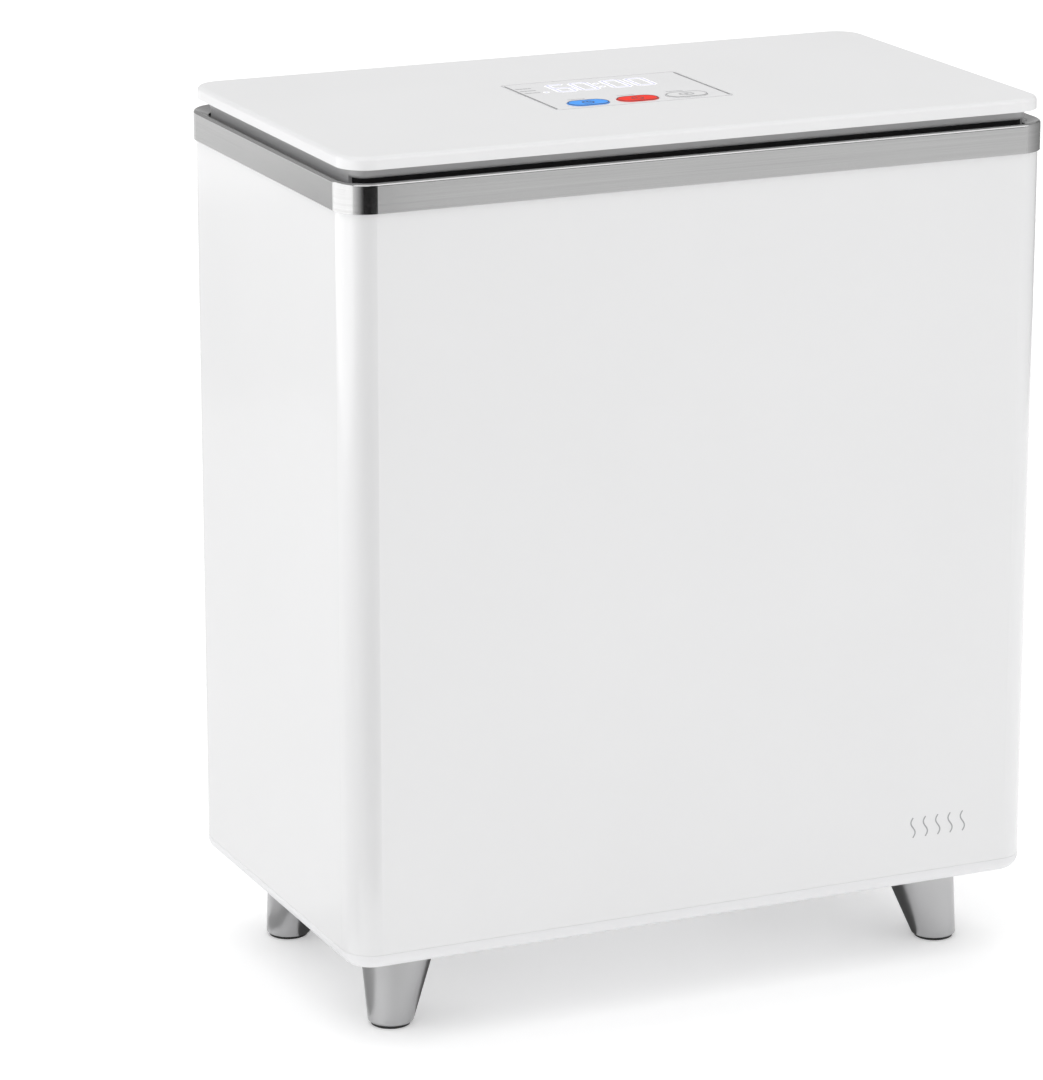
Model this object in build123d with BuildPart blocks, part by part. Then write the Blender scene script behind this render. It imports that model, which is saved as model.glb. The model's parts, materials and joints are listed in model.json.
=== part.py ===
from build123d import *
import os

# Lid-top towel warming cabinet.  Millimetres, +Z up, origin on the floor under the middle,
# front towards -Y.  "Inset" always means the distance drawn in from the body's outer face.

# ---------------------------------------------------------------- driving dimensions
BODY_WIDTH = 420.0
BODY_DEPTH = 238.0
CORNER_RADIUS = 17.0
SMALL_RADIUS = 3.0

TRAY_BOTTOM = 48.0
TRAY_TOP = 56.9
SHELL_BOTTOM = 57.0
SHELL_TOP = 472.8
RING_BOTTOM = 470.0
RING_TOP = 486.5
LID_UNDERSIDE = 493.0
LID_TOP = 500.0

RUNNING_GAP = 0.3
HALF_WIDTH = BODY_WIDTH / 2
HALF_DEPTH = BODY_DEPTH / 2

# body sheet metal
SHELL_WALL = 0.8
SHELL_TOP_FLANGE_INSET = 12.0
SHELL_FOOT_FLANGE_INSET = 17.0
TRAY_SCREW_INSET = 12.5
BUCKET_INSET = 13.0
BUCKET_WALL = 1.2
BUCKET_RADIUS = 20.0
BUCKET_BOTTOM = 95.0
BUCKET_FLOOR_RADIUS = 8.0
BUCKET_FLANGE_INSET = 2.2
BUCKET_FLANGE_TOP = 474.0

# steel trim ring: a pressed channel over the top of the shell
RING_PROUD = 1.3
RING_SHEET = 1.2
RING_INNER_INSET = 7.1
RING_LIP_RADIUS = 1.8
RING_LIP_INSET = 0.0
RING_SHELF_DROP = 3.1
RING_CHANNEL_ROOF = 481.5

# base tray
TRAY_FLOOR = 3.0
TRAY_WALL = 6.0
TRAY_EDGE_RADIUS = 8.0
TRAY_FLOOR_TOP = TRAY_BOTTOM + TRAY_FLOOR
TRAY_VENT_LENGTH = 52.5
TRAY_VENT_WIDTH = 3.0
TRAY_VENT_SPREAD_X = 210.0
TRAY_VENT_PITCH_Y = 9.9
TRAY_VENT_ROWS = 7

# legs
LEG_TOP_X = 163.0
LEG_TOP_Y = 69.0
LEG_TOP_RADIUS = 22.2
LEG_FOOT_RADIUS = 12.4
LEG_FOOT_FILLET = 1.2
LEG_SPLAY = 9.0
PAD_HEIGHT = 1.8
PAD_RADIUS = 11.2
PAD_FILLET = 0.5
PAD_PEG_RADIUS = 4.0
PAD_PEG_HEIGHT = 5.0
STUD_RADIUS = 4.0
STUD_BOTTOM = 24.0
STUD_TOP = 62.0
LEG_BOSS_RADIUS = 9.0
CORNERS = [(-1, -1), (1, -1), (-1, 1), (1, 1)]
CORNER_NAMES = ["front_left", "front_right", "rear_left", "rear_right"]

# screws
SCREW_RADIUS = 2.0
SCREW_HEAD_RADIUS = 4.0
SCREW_HEAD_HEIGHT = 1.6
SCREW_BOSS_RADIUS = 5.0

# heaters and insulation
WALL_HEATER_BOTTOM = 130.0
WALL_HEATER_TOP = 330.0
WALL_HEATER_THICKNESS = 0.8
INSULATION_OUTER_INSET = 1.6
INSULATION_INNER_INSET = 11.6
INSULATION_TOP = 471.0
FLOOR_HEATER_INSET = 34.0
FLOOR_HEATER_THICKNESS = 1.8
FLOOR_INSULATION_INSET = 16.0
FLOOR_INSULATION_THICKNESS = 12.0
CUTOUT_SIZE = 34.0
CLIP_LENGTH = 20.4
CLIP_WIDTH = 8.5
THERMOSTAT_X = -70.0
FUSE_X = 70.0
FUSE_RADIUS = 2.0
FUSE_LENGTH = 14.0
THERMOSTAT_RADIUS = 8.0
THERMOSTAT_HEIGHT = 7.0
THERMOSTAT_PLATE_LENGTH = 27.2
THERMOSTAT_PLATE_WIDTH = 13.6
BLADE_THICKNESS = 0.8
BLADE_WIDTH = 6.3
BLADE_LENGTH = 4.0

# power board in the base
BOARD_WIDTH = 120.0
BOARD_DEPTH = 70.0
BOARD_THICKNESS = 1.6
BOARD_BOTTOM = 59.0
BOARD_CENTRE_Y = 40.0
BOARD_HOLE_INSET = 6.0
BOARD_TOP = BOARD_BOTTOM + BOARD_THICKNESS
TERMINAL_X = 38.0
TERMINAL_HEIGHT = 12.0
BOARD_BLOCKS = [
    ("transformer", (-30.0, 40.0), (26.0, 22.0, 18.0)),
    ("relay", (5.0, 48.0), (19.0, 15.0, 15.0)),
    ("terminal_block", (TERMINAL_X, BOARD_CENTRE_Y), (14.0, 36.0, TERMINAL_HEIGHT)),
]
LEAD_RADIUS = 1.0
LEAD_BEND = 3.0
LEAD_RISE = 4.4
LEAD_SPREAD = 12.0

# mains lead gland
GLAND_X = 150.0
GLAND_Z = 80.0
GLAND_BORE_RADIUS = 3.6
GLAND_NECK_RADIUS = 8.0
GLAND_FLANGE_RADIUS = 11.0
GLAND_FLANGE = 1.2
GLAND_BOSS_RADIUS = 6.5
GLAND_LENGTH = 14.0

# lid
LID_EDGE_INSET = 1.0
LID_CORNER_RADIUS = 16.5
LID_WALL = 2.5
LID_EDGE_RADIUS = 2.5
LID_SKIN_BOTTOM = 497.3
BASE_INSET = 8.0
BASE_BOTTOM = 487.0
BASE_WALL = 2.0
BASE_FLOOR_TOP = BASE_BOTTOM + BASE_WALL
BASE_FLANGE_INSET = 3.8
BASE_FLANGE_GAP = 0.2
BASE_FLANGE_BOTTOM = LID_UNDERSIDE + BASE_FLANGE_GAP
BASE_FLANGE = 1.5
BASE_TOP = BASE_FLANGE_BOTTOM + BASE_FLANGE
BASE_EDGE_RADIUS = 1.9
APRON_BOTTOM = 482.5
APRON_LENGTH = BODY_DEPTH - 2 * CORNER_RADIUS
PLUG_INSET = 10.0
PLUG_BOTTOM = 478.0
PLUG_WALL = 1.5
LINER_INSET = 14.5
LINER_THICKNESS = 1.2
LINER_BOTTOM = PLUG_BOTTOM - LINER_THICKNESS
SEAL_INSET = 10.2
SEAL_WIDTH = 4.0
SEAL_BOTTOM = BUCKET_FLANGE_TOP + RUNNING_GAP
LID_SCREW_INSET = 18.0
PLUG_SCREW_INSET = 30.0

# control panel on the lid
PANEL_WIDTH = 108.0
PANEL_DEPTH = 78.0
PANEL_CENTRE_Y = -2.0
PANEL_THICKNESS = 1.2
PANEL_GROOVE = 0.7
PANEL_RADIUS = 2.5
BUTTON_PITCH = 30.0
BUTTON_MIDDLE_X = 0.5
BUTTON_Y = -28.4
BUTTON_LENGTH = 25.0
BUTTON_WIDTH = 15.0
BUTTON_PROUD = 0.4
BUTTON_TRAVEL = 0.6
BUTTON_FLANGE_BOTTOM = 496.2
BUTTON_STEM_RADIUS = 1.6
BUTTON_XS = [BUTTON_MIDDLE_X + BUTTON_PITCH * step for step in (-1, 0, 1)]
BUTTON_NAMES = ["blue", "red", "white"]
DISPLAY_X = -0.5
DISPLAY_Y = 17.5
DISPLAY_WIDTH = 66.0
DISPLAY_DEPTH = 30.0
CONTROL_BOARD_BOTTOM = 491.5
CONTROL_BOARD_TOP = CONTROL_BOARD_BOTTOM + BOARD_THICKNESS
SWITCH_SIZE = 6.0
SWITCH_HEIGHT = 1.9
BUTTON_STEM_BOTTOM = CONTROL_BOARD_TOP + SWITCH_HEIGHT + RUNNING_GAP + BUTTON_TRAVEL

# hinges: knuckles lie in the gap between the ring and the lid
HINGE_AXIS_Y = 116.5
HINGE_AXIS_Z = (RING_TOP + LID_UNDERSIDE) / 2
HINGE_X = 130.0
HINGE_LENGTH = 34.0
KNUCKLE_RADIUS = 2.9
END_KNUCKLE = 8.0
PIN_RADIUS = 1.5
PIN_CLEARANCE = 0.05
LEAF_THICKNESS = 1.2
LEAF_BOTTOM = 475.0
LEAF_SHELF_REACH = 1.7
KNUCKLE_WEB_OFFSET = 1.0
RIVET_RADIUS = 1.6
RIVET_HEAD_RADIUS = 2.7
RIVET_HEAD_HEIGHT = 0.8
RIVET_SPACING = 24.0
BODY_RIVET_Z = 478.5
LID_RIVET_Z = 489.6
RING_INNER_Y = HALF_DEPTH - RING_INNER_INSET
BASE_REAR_Y = HALF_DEPTH - BASE_INSET

# fragrance drawer under the lid
SCENT_WIDTH = 96.0
SCENT_DEPTH = 64.0
SCENT_HEIGHT = 12.0
SCENT_WALL = 2.0
SCENT_BOTTOM = LINER_BOTTOM - SCENT_HEIGHT
SCENT_GAP = 0.4
TRAY_SIDE = 1.6
SCENT_FRONT_HEIGHT = 11.2
SCENT_FRONT_THICKNESS = 2.2
SCENT_SLOT_LENGTH = 9.0
SCENT_SLOT_WIDTH = 2.4
SCENT_SLOT_PITCH_X = 14.4
SCENT_SLOT_PITCH_Y = 7.2
SCENT_SLOT_COLUMNS = 5
SCENT_SLOT_ROWS = 6
SCENT_GRIP_LENGTH = 24.0
SCENT_PAD_THICKNESS = 4.0


# ---------------------------------------------------------------- helpers
def plan(inset, radius=None, mode=Mode.ADD):
    """Draw the cabinet's rounded plan into the current sketch, drawn in by inset."""
    corner = radius if radius else max(CORNER_RADIUS - inset, SMALL_RADIUS)
    RectangleRounded(BODY_WIDTH - 2 * inset, BODY_DEPTH - 2 * inset, corner, mode=mode)


def rim_points(inset):
    """Six screw places just inside the rim: the four corners and the middle of each long side."""
    across = HALF_WIDTH - inset - CORNER_RADIUS
    along = HALF_DEPTH - inset
    return [(side * across, end * along) for side in (-1, 0, 1) for end in (-1, 1)]


def board_holes(centre_y):
    """Corner holes of the power board."""
    across = BOARD_WIDTH / 2 - BOARD_HOLE_INSET
    along = BOARD_DEPTH / 2 - BOARD_HOLE_INSET
    return [(side * across, centre_y + end * along) for side, end in CORNERS]


def upright_screws(points, low, high, radius=SCREW_RADIUS, head_at_low=True):
    """Round-headed screws standing on end, with the head below low or above high."""
    with BuildPart() as screws:
        with BuildSketch(Plane.XY.offset(low)):
            with Locations(*points):
                Circle(radius)
        extrude(amount=high - low)
        head_base = low - SCREW_HEAD_HEIGHT if head_at_low else high
        with BuildSketch(Plane.XY.offset(head_base)):
            with Locations(*points):
                Circle(2 * radius)
        extrude(amount=SCREW_HEAD_HEIGHT)
    return screws.part


def finish(part, label):
    """Label a finished piece and write it out."""
    part.label = label
    export_step(part, f"parts/{label}.step")


os.makedirs("parts", exist_ok=True)

# ---------------------------------------------------------------- base tray and legs
tray_screw_points = rim_points(TRAY_SCREW_INSET)
leg_tops = [(side * LEG_TOP_X, end * LEG_TOP_Y) for side, end in CORNERS]

with BuildPart() as base_tray:
    with BuildSketch(Plane.XY.offset(TRAY_BOTTOM)):
        plan(0)
    extrude(amount=TRAY_TOP - TRAY_BOTTOM)
    fillet(base_tray.faces().sort_by(Axis.Z)[0].edges(), TRAY_EDGE_RADIUS)
    with BuildSketch(Plane.XY.offset(TRAY_FLOOR_TOP)):
        plan(TRAY_WALL)
    extrude(amount=TRAY_TOP - TRAY_FLOOR_TOP, mode=Mode.SUBTRACT)
    with BuildSketch(Plane.XY.offset(TRAY_FLOOR_TOP)):
        with Locations(*tray_screw_points):
            Circle(SCREW_BOSS_RADIUS)
    extrude(amount=SHELL_BOTTOM - TRAY_FLOOR_TOP)
    with BuildSketch(Plane.XY.offset(TRAY_FLOOR_TOP)):
        with Locations(*leg_tops):
            Circle(LEG_BOSS_RADIUS)
    extrude(amount=STUD_TOP - TRAY_FLOOR_TOP)
    with BuildSketch(Plane.XY.offset(TRAY_FLOOR_TOP)):
        with Locations(*board_holes(BOARD_CENTRE_Y)):
            Circle(SCREW_HEAD_RADIUS)
    extrude(amount=BOARD_BOTTOM - TRAY_FLOOR_TOP)
    with BuildSketch(Plane.XY.offset(TRAY_BOTTOM)):
        with Locations(*leg_tops):
            Circle(STUD_RADIUS)
    extrude(amount=STUD_TOP - TRAY_BOTTOM, mode=Mode.SUBTRACT)
    with BuildSketch(Plane.XY.offset(TRAY_BOTTOM)):
        with Locations(*tray_screw_points):
            Circle(SCREW_RADIUS)
    extrude(amount=SHELL_BOTTOM - TRAY_BOTTOM, mode=Mode.SUBTRACT)
    with BuildSketch(Plane.XY.offset(TRAY_BOTTOM)):
        with Locations(*tray_screw_points):
            Circle(SCREW_HEAD_RADIUS)
    extrude(amount=SCREW_HEAD_HEIGHT, mode=Mode.SUBTRACT)
    with BuildSketch(Plane.XY.offset(BOARD_BOTTOM)):
        with Locations(*board_holes(BOARD_CENTRE_Y)):
            Circle(SCREW_RADIUS)
    extrude(amount=TRAY_FLOOR_TOP - BOARD_BOTTOM + TRAY_FLOOR / 2, mode=Mode.SUBTRACT)
    with BuildSketch(Plane.XY.offset(TRAY_BOTTOM)):
        with GridLocations(TRAY_VENT_SPREAD_X, TRAY_VENT_PITCH_Y, 2, TRAY_VENT_ROWS):
            SlotOverall(TRAY_VENT_LENGTH, TRAY_VENT_WIDTH)
    extrude(amount=TRAY_FLOOR, mode=Mode.SUBTRACT)
finish(base_tray.part, "base_tray")

finish(upright_screws(tray_screw_points, TRAY_BOTTOM + SCREW_HEAD_HEIGHT,
                      SHELL_BOTTOM + 2 * SHELL_WALL), "tray_screws")


def make_leg(side, end):
    """A cast leg that tapers towards the floor and splays out along both plan axes."""
    lean = LEG_SPLAY / TRAY_BOTTOM
    foot_shift = (TRAY_BOTTOM - PAD_HEIGHT) * lean
    taper = (LEG_TOP_RADIUS - LEG_FOOT_RADIUS) / TRAY_BOTTOM
    top = (side * LEG_TOP_X, end * LEG_TOP_Y)
    foot = (top[0] + side * foot_shift, top[1] + end * foot_shift)
    with BuildPart() as leg:
        with BuildSketch(Plane.XY.offset(PAD_HEIGHT)):
            with Locations(foot):
                Circle(LEG_FOOT_RADIUS + PAD_HEIGHT * taper)
        with BuildSketch(Plane.XY.offset(TRAY_BOTTOM)):
            with Locations(top):
                Circle(LEG_TOP_RADIUS)
        loft()
        fillet(leg.faces().sort_by(Axis.Z)[0].edges(), LEG_FOOT_FILLET)
        with BuildSketch(Plane.XY.offset(TRAY_BOTTOM)):
            with Locations(top):
                Circle(STUD_RADIUS)
        extrude(amount=STUD_BOTTOM - TRAY_BOTTOM, mode=Mode.SUBTRACT)
        with BuildSketch(Plane.XY.offset(PAD_HEIGHT)):
            with Locations(foot):
                Circle(PAD_PEG_RADIUS)
        extrude(amount=PAD_PEG_HEIGHT, mode=Mode.SUBTRACT)
    return leg.part, foot


def make_foot_pad(foot):
    """A rubber pad with a peg that is pushed into the leg's foot."""
    with BuildPart() as pad:
        with BuildSketch(Plane.XY):
            with Locations(foot):
                Circle(PAD_RADIUS)
        extrude(amount=PAD_HEIGHT)
        fillet(pad.faces().sort_by(Axis.Z)[0].edges(), PAD_FILLET)
        with BuildSketch(Plane.XY.offset(PAD_HEIGHT)):
            with Locations(foot):
                Circle(PAD_PEG_RADIUS)
        extrude(amount=PAD_PEG_HEIGHT)
    return pad.part


for (side, end), corner in zip(CORNERS, CORNER_NAMES):
    leg_part, foot_point = make_leg(side, end)
    finish(leg_part, f"leg_{corner}")
    finish(make_foot_pad(foot_point), f"foot_pad_{corner}")

with BuildPart() as leg_studs:
    with BuildSketch(Plane.XY.offset(STUD_BOTTOM)):
        with Locations(*leg_tops):
            Circle(STUD_RADIUS)
    extrude(amount=STUD_TOP - STUD_BOTTOM)
finish(leg_studs.part, "leg_studs")

# ---------------------------------------------------------------- outer shell
with BuildPart() as body_shell:
    with BuildSketch(Plane.XY.offset(SHELL_BOTTOM)):
        plan(0)
        plan(SHELL_WALL, mode=Mode.SUBTRACT)
    extrude(amount=SHELL_TOP - SHELL_BOTTOM)
    for flange_bottom, flange_inset in ((SHELL_BOTTOM, SHELL_FOOT_FLANGE_INSET),
                                        (SHELL_TOP - SHELL_WALL, SHELL_TOP_FLANGE_INSET)):
        with BuildSketch(Plane.XY.offset(flange_bottom)):
            plan(SHELL_WALL)
            plan(flange_inset, mode=Mode.SUBTRACT)
        extrude(amount=SHELL_WALL)
    with BuildSketch(Plane.XY.offset(SHELL_BOTTOM)):
        with Locations(*tray_screw_points):
            Circle(SCREW_RADIUS)
    extrude(amount=SHELL_WALL, mode=Mode.SUBTRACT)
    with BuildSketch(Plane((GLAND_X, HALF_DEPTH, GLAND_Z), x_dir=(1, 0, 0), z_dir=(0, 1, 0))):
        Circle(GLAND_NECK_RADIUS)
    extrude(amount=-2 * SHELL_WALL, mode=Mode.SUBTRACT)
finish(body_shell.part, "body_shell")

# A rubber gland clipped into the shell's rear wall, with a plain bore for the mains lead.
with BuildPart() as cord_gland:
    gland_stack = [(GLAND_FLANGE_RADIUS, HALF_DEPTH, GLAND_FLANGE),
                   (GLAND_NECK_RADIUS, HALF_DEPTH - SHELL_WALL, SHELL_WALL),
                   (GLAND_FLANGE_RADIUS, HALF_DEPTH - SHELL_WALL - GLAND_FLANGE, GLAND_FLANGE),
                   (GLAND_BOSS_RADIUS, HALF_DEPTH + GLAND_FLANGE - GLAND_LENGTH,
                    GLAND_LENGTH - SHELL_WALL - 2 * GLAND_FLANGE)]
    for radius, start_y, length in gland_stack:
        with BuildSketch(Plane((GLAND_X, start_y, GLAND_Z), x_dir=(1, 0, 0), z_dir=(0, 1, 0))):
            Circle(radius)
        extrude(amount=length)
    with BuildSketch(Plane((GLAND_X, HALF_DEPTH + GLAND_FLANGE, GLAND_Z),
                           x_dir=(1, 0, 0), z_dir=(0, 1, 0))):
        Circle(GLAND_BORE_RADIUS)
    extrude(amount=-GLAND_LENGTH, mode=Mode.SUBTRACT)
finish(cord_gland.part, "cord_gland")

# ---------------------------------------------------------------- steel trim ring
rivet_xs = [side * HINGE_X + step * RIVET_SPACING / 2 for side in (-1, 1) for step in (-1, 1)]

with BuildPart() as trim_ring:
    with BuildSketch(Plane.XY.offset(RING_BOTTOM)):
        plan(-RING_PROUD)
    extrude(amount=RING_TOP - RING_BOTTOM)
    fillet(trim_ring.faces().sort_by(Axis.Z)[-1].edges(), RING_LIP_RADIUS)
    with BuildSketch(Plane.XY.offset(RING_TOP)):
        plan(RING_LIP_INSET)
    with BuildSketch(Plane.XY.offset(RING_TOP - RING_SHELF_DROP)):
        plan(RING_INNER_INSET)
    loft(ruled=True, mode=Mode.SUBTRACT)
    with BuildSketch(Plane.XY.offset(RING_BOTTOM)):
        plan(RING_INNER_INSET)
    extrude(amount=RING_TOP - RING_BOTTOM, mode=Mode.SUBTRACT)
    with BuildSketch(Plane.XY.offset(RING_BOTTOM)):
        plan(RING_SHEET - RING_PROUD)
        plan(RING_INNER_INSET - RING_SHEET, mode=Mode.SUBTRACT)
    extrude(amount=RING_CHANNEL_ROOF - RING_BOTTOM, mode=Mode.SUBTRACT)
    with BuildSketch(Plane.XY.offset(RING_BOTTOM)):
        plan(RING_INNER_INSET - RING_SHEET)
    extrude(amount=BUCKET_FLANGE_TOP - RING_BOTTOM, mode=Mode.SUBTRACT)
    with BuildSketch(Plane((0, RING_INNER_Y, BODY_RIVET_Z), x_dir=(1, 0, 0), z_dir=(0, 1, 0))):
        with Locations(*[(x, 0) for x in rivet_xs]):
            Circle(RIVET_RADIUS)
    extrude(amount=RING_SHEET, mode=Mode.SUBTRACT)
finish(trim_ring.part, "trim_ring")

# ---------------------------------------------------------------- inner bucket
with BuildPart() as inner_bucket:
    with BuildSketch(Plane.XY.offset(BUCKET_BOTTOM)):
        plan(BUCKET_INSET, BUCKET_RADIUS)
    extrude(amount=SHELL_TOP - BUCKET_BOTTOM)
    with BuildSketch(Plane.XY.offset(SHELL_TOP)):
        plan(BUCKET_FLANGE_INSET)
    extrude(amount=BUCKET_FLANGE_TOP - SHELL_TOP)
    with BuildSketch(Plane.XY.offset(BUCKET_BOTTOM + BUCKET_WALL)):
        plan(BUCKET_INSET + BUCKET_WALL, BUCKET_RADIUS - BUCKET_WALL)
    extrude(amount=BUCKET_FLANGE_TOP - BUCKET_BOTTOM, mode=Mode.SUBTRACT)
    bucket_floor = inner_bucket.faces().filter_by(Axis.Z).group_by(Axis.Z)[1]
    fillet(bucket_floor.edges(), BUCKET_FLOOR_RADIUS - BUCKET_WALL)
    fillet(inner_bucket.faces().sort_by(Axis.Z)[0].edges(), BUCKET_FLOOR_RADIUS)
finish(inner_bucket.part, "inner_bucket")

# ---------------------------------------------------------------- heaters and insulation
with BuildPart() as wall_heater:
    with BuildSketch(Plane.XY.offset(WALL_HEATER_BOTTOM)):
        plan(BUCKET_INSET - WALL_HEATER_THICKNESS, BUCKET_RADIUS + WALL_HEATER_THICKNESS)
        plan(BUCKET_INSET, BUCKET_RADIUS, mode=Mode.SUBTRACT)
    extrude(amount=WALL_HEATER_TOP - WALL_HEATER_BOTTOM)
finish(wall_heater.part, "wall_heater")

with BuildPart() as insulation_wrap:
    with BuildSketch(Plane.XY.offset(BUCKET_BOTTOM)):
        plan(INSULATION_OUTER_INSET)
        plan(INSULATION_INNER_INSET, BUCKET_RADIUS + BUCKET_WALL, mode=Mode.SUBTRACT)
    extrude(amount=INSULATION_TOP - BUCKET_BOTTOM)
finish(insulation_wrap.part, "insulation_wrap")

with BuildPart() as floor_heater:
    with BuildSketch(Plane.XY.offset(BUCKET_BOTTOM)):
        plan(FLOOR_HEATER_INSET, BUCKET_RADIUS)
    extrude(amount=-FLOOR_HEATER_THICKNESS)
finish(floor_heater.part, "floor_heater")

heater_bottom = BUCKET_BOTTOM - FLOOR_HEATER_THICKNESS

with BuildPart() as insulation_floor:
    with BuildSketch(Plane.XY.offset(heater_bottom)):
        plan(FLOOR_INSULATION_INSET, BUCKET_RADIUS)
        with Locations((THERMOSTAT_X, 0), (0, 0), (FUSE_X, 0)):
            RectangleRounded(CUTOUT_SIZE, CUTOUT_SIZE, SMALL_RADIUS, mode=Mode.SUBTRACT)
    extrude(amount=-FLOOR_INSULATION_THICKNESS)
finish(insulation_floor.part, "insulation_floor")

# A bimetal disc thermostat: mounting plate, can and two blade terminals.
with BuildPart() as thermostat:
    with BuildSketch(Plane.XY.offset(heater_bottom)):
        with Locations((THERMOSTAT_X, 0)):
            RectangleRounded(THERMOSTAT_PLATE_LENGTH, THERMOSTAT_PLATE_WIDTH, SMALL_RADIUS)
    extrude(amount=-SHELL_WALL)
    with BuildSketch(Plane.XY.offset(heater_bottom - SHELL_WALL)):
        with Locations((THERMOSTAT_X, 0)):
            Circle(THERMOSTAT_RADIUS)
    extrude(amount=-THERMOSTAT_HEIGHT)
    with BuildSketch(Plane.XY.offset(heater_bottom - SHELL_WALL - THERMOSTAT_HEIGHT)):
        with Locations((THERMOSTAT_X, 0)):
            with GridLocations(THERMOSTAT_RADIUS, 0, 2, 1):
                Rectangle(BLADE_THICKNESS, BLADE_WIDTH)
    extrude(amount=-BLADE_LENGTH)
finish(thermostat.part, "thermostat")

# A cartridge thermal fuse lying against the floor heater, with its two axial leads.
fuse_z = heater_bottom - FUSE_RADIUS

with BuildPart() as thermal_fuse:
    for fuse_radius, half_length in ((FUSE_RADIUS, FUSE_LENGTH / 2), (BLADE_THICKNESS, FUSE_LENGTH)):
        with BuildSketch(Plane((FUSE_X - half_length, 0, fuse_z), x_dir=(0, 1, 0), z_dir=(1, 0, 0))):
            Circle(fuse_radius)
        extrude(amount=2 * half_length)
finish(thermal_fuse.part, "thermal_fuse")

# A bead thermistor in a flat clip, in the middle cut-out.
with BuildPart() as temperature_sensor:
    with BuildSketch(Plane.XY.offset(heater_bottom)):
        SlotOverall(CLIP_LENGTH, CLIP_WIDTH)
    extrude(amount=-BLADE_THICKNESS)
    with BuildSketch(Plane.XY.offset(heater_bottom - BLADE_THICKNESS)):
        Circle(FUSE_RADIUS)
    extrude(amount=-2 * FUSE_RADIUS)
    fillet(temperature_sensor.faces().sort_by(Axis.Z)[0].edges(), FUSE_RADIUS / 2)
finish(temperature_sensor.part, "temperature_sensor")

# ---------------------------------------------------------------- power board
with BuildPart() as power_board:
    with BuildSketch(Plane.XY.offset(BOARD_BOTTOM)):
        with Locations((0, BOARD_CENTRE_Y)):
            RectangleRounded(BOARD_WIDTH, BOARD_DEPTH, SMALL_RADIUS)
        with Locations(*board_holes(BOARD_CENTRE_Y)):
            Circle(SCREW_RADIUS, mode=Mode.SUBTRACT)
    extrude(amount=BOARD_THICKNESS)
finish(power_board.part, "power_board")

with BuildPart() as board_screws:
    with BuildSketch(Plane.XY.offset(BOARD_BOTTOM - SCREW_HEAD_RADIUS)):
        with Locations(*board_holes(BOARD_CENTRE_Y)):
            Circle(SCREW_RADIUS)
    extrude(amount=SCREW_HEAD_RADIUS + BOARD_THICKNESS)
    with BuildSketch(Plane.XY.offset(BOARD_TOP)):
        with Locations(*board_holes(BOARD_CENTRE_Y)):
            Circle(SCREW_HEAD_RADIUS)
    extrude(amount=SCREW_HEAD_HEIGHT)
finish(board_screws.part, "board_screws")


def make_board_block(centre_x, centre_y, width, depth, height):
    """A moulded component standing on the power board."""
    with BuildPart() as block:
        with BuildSketch(Plane.XY.offset(BOARD_TOP)):
            with Locations((centre_x, centre_y)):
                RectangleRounded(width, depth, BLADE_THICKNESS)
        extrude(amount=height)
        fillet(block.faces().sort_by(Axis.Z)[-1].edges(), BLADE_THICKNESS / 2)
    return block.part


for block_name, block_place, block_size in BOARD_BLOCKS:
    finish(make_board_block(*block_place, *block_size), block_name)


def make_lead(start, rise_z, turn_x, turn_y, end_z):
    """An insulated lead: up out of the terminal block, across, and up to its heater part."""
    with BuildPart() as lead:
        with BuildLine():
            route = FilletPolyline(start, (start[0], start[1], rise_z), (turn_x, turn_y, rise_z),
                                   (turn_x, turn_y, end_z), radius=LEAD_BEND)
        with BuildSketch(Plane(start)):
            Circle(LEAD_RADIUS)
        sweep(path=route)
    return lead.part


block_top = BOARD_TOP + TERMINAL_HEIGHT
fuse_lead = make_lead((TERMINAL_X, BOARD_CENTRE_Y - LEAD_SPREAD, block_top), block_top + LEAD_RISE,
                      FUSE_X + FUSE_LENGTH - LEAD_RADIUS, 0, fuse_z - BLADE_THICKNESS)
blade_tip = heater_bottom - SHELL_WALL - THERMOSTAT_HEIGHT - BLADE_LENGTH
thermostat_lead = make_lead((TERMINAL_X, BOARD_CENTRE_Y + LEAD_SPREAD, block_top), block_top + LEAD_RISE,
                            THERMOSTAT_X + THERMOSTAT_RADIUS / 2, 0, blade_tip)
finish(Compound(children=[fuse_lead, thermostat_lead]), "heater_leads")

# ---------------------------------------------------------------- hinges
leaf_front_y = RING_INNER_Y - LEAF_THICKNESS
shelf_z = RING_TOP - RING_SHELF_DROP
shelf_slope = RING_SHELF_DROP / (RING_INNER_INSET - RING_LIP_INSET)
strip_y = RING_INNER_Y + LEAF_SHELF_REACH
strip_z = shelf_z + shelf_slope * (strip_y - RING_INNER_Y)
web_y = HINGE_AXIS_Y + KNUCKLE_WEB_OFFSET
web_z = shelf_z + shelf_slope * (web_y - RING_INNER_Y)
knuckle_front_y = HINGE_AXIS_Y - KNUCKLE_RADIUS
lid_leaf_rear_y = BASE_REAR_Y + LEAF_THICKNESS
lid_leaf_bottom = BASE_BOTTOM + RUNNING_GAP
lid_leaf_top = LID_UNDERSIDE - RUNNING_GAP


def across_plane(x):
    """The hinge's cross-section plane at x, with its own x along +Y and its y along +Z."""
    return Plane((x, 0, 0), x_dir=(0, 1, 0), z_dir=(1, 0, 0))


def rivet_plane(y):
    """An upright plane across the depth, with its own x along +X and its y along -Z."""
    return Plane((0, y, 0), x_dir=(1, 0, 0), z_dir=(0, 1, 0))


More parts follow.
